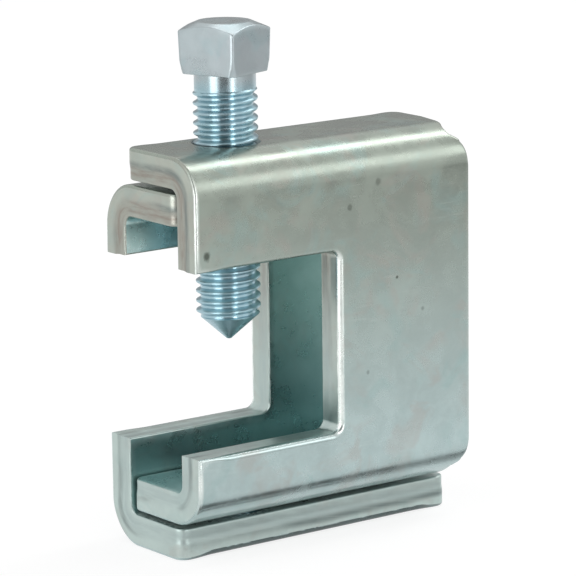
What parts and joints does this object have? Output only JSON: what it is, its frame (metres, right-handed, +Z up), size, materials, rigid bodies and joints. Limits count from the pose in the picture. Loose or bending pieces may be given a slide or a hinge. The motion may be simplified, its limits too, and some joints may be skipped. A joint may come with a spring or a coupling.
{
  "type": "beam clamp",
  "caption": "Wide-throat steel beam clamp of two interlocking folded plate halves, with a square-head set screw through the top flanges and a rod hole below.",
  "frame": {"origin": "middle of the clamp's length and width, at the underside of the lowest flange", "axes": "+X from the throat's mouth to the spine, +Y from the near plate to the far plate, +Z up along the set screw towards its head"},
  "size_m": [0.0676, 0.0302, 0.1035],
  "materials": {
    "zinc_plated_plate": "zinc electroplate on hot-rolled plate, dull, faintly mottled",
    "zinc_plated_screw": "bright zinc electroplate, bluish, satin"
  },
  "bodies": {
    "clamp_body": {"near_clamp_half": "zinc_plated_plate", "far_clamp_half": "zinc_plated_plate"},
    "screw": {"set_screw": "zinc_plated_screw"}
  },
  "joints": [
    {"name": "screw_travel", "type": "slide", "parent": "clamp_body", "child": "screw", "axis": [0, 0, 1], "range_m": [-0.00977, 0.01954]}
  ]
}
